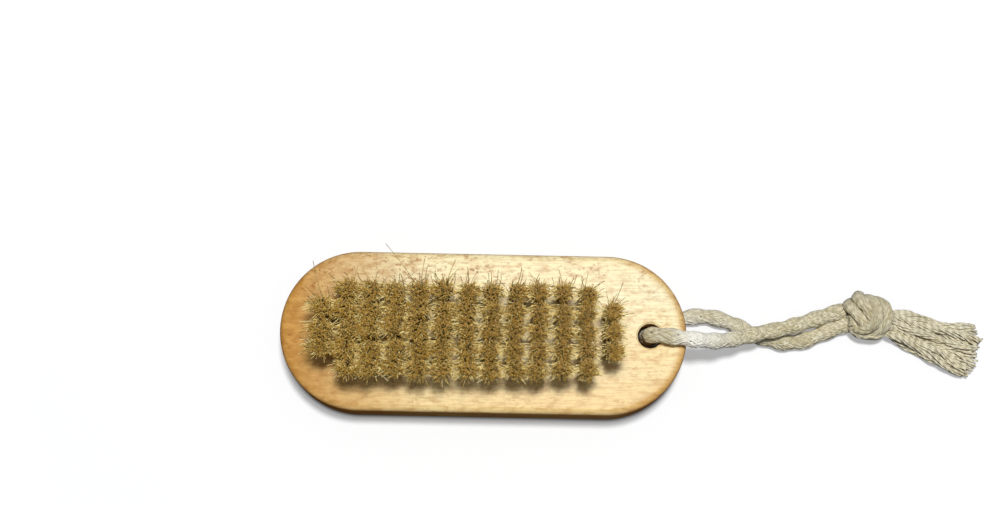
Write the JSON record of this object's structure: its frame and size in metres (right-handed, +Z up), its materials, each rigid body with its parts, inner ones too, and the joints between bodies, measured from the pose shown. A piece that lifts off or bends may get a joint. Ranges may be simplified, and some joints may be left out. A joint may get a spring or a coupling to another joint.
{
  "type": "nail brush",
  "caption": "Oval wooden nail brush with a field of natural bristle tufts on its face, a sideways row of short tufts in a notch along its back, and a knotted cotton hanging cord.",
  "frame": {"origin": "middle of the block's back, on the plane that the brush lies on", "axes": "+X along the block towards the cord hole, +Z up out of the bristle face"},
  "size_m": [0.1675, 0.0374, 0.027],
  "materials": {
    "beech": "satin varnish",
    "bristle": "natural fibre",
    "anchor_steel": "bare flat wire",
    "cotton_cord": "braided cotton"
  },
  "bodies": {
    "root": {"block": "beech", "bristle_column_01": "bristle", "bristle_column_02": "bristle", "bristle_column_03": "bristle", "bristle_column_04": "bristle", "bristle_column_05": "bristle", "bristle_column_06": "bristle", "bristle_column_07": "bristle", "bristle_column_08": "bristle", "bristle_column_09": "bristle", "bristle_column_10": "bristle", "bristle_column_11": "bristle", "bristle_column_12": "bristle", "bristle_column_13": "bristle", "nail_row_tufts": "bristle", "field_anchors": "anchor_steel", "nail_row_anchors": "anchor_steel", "cord_upper_leg": "cotton_cord", "cord_lower_leg": "cotton_cord", "cord_knot": "cotton_cord", "cord_tail_a": "cotton_cord", "cord_tail_b": "cotton_cord"}
  },
  "joints": []
}
